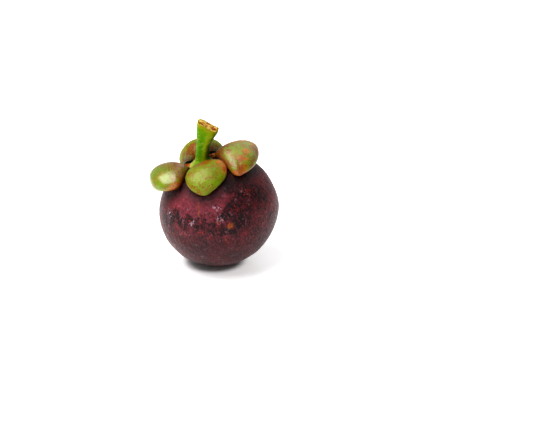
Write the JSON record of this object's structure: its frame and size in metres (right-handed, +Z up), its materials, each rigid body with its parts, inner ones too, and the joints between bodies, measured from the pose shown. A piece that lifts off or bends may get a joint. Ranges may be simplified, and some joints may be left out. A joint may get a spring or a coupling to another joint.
{
  "type": "mangosteen",
  "caption": "Whole ripe mangosteen with thick green calyx lobes and a short cut stalk, resting on a small flat spot.",
  "frame": {"origin": "middle of the small flat spot on the underside that the fruit rests on", "axes": "+Z up from the surface it rests on; the stem end leans 22 degrees from +Z towards -X; the pictured side faces -Y"},
  "size_m": [0.0662, 0.0635, 0.0762],
  "materials": {
    "rind": "satin",
    "calyx": "satin",
    "stalk": "satin",
    "stigma": "matte"
  },
  "bodies": {
    "root": {"rind": "rind", "stigma_rosette": "stigma", "stalk": "stalk", "calyx_lobe_left": "calyx", "calyx_lobe_right": "calyx", "calyx_lobe_front": "calyx", "calyx_lobe_back": "calyx"}
  },
  "joints": []
}
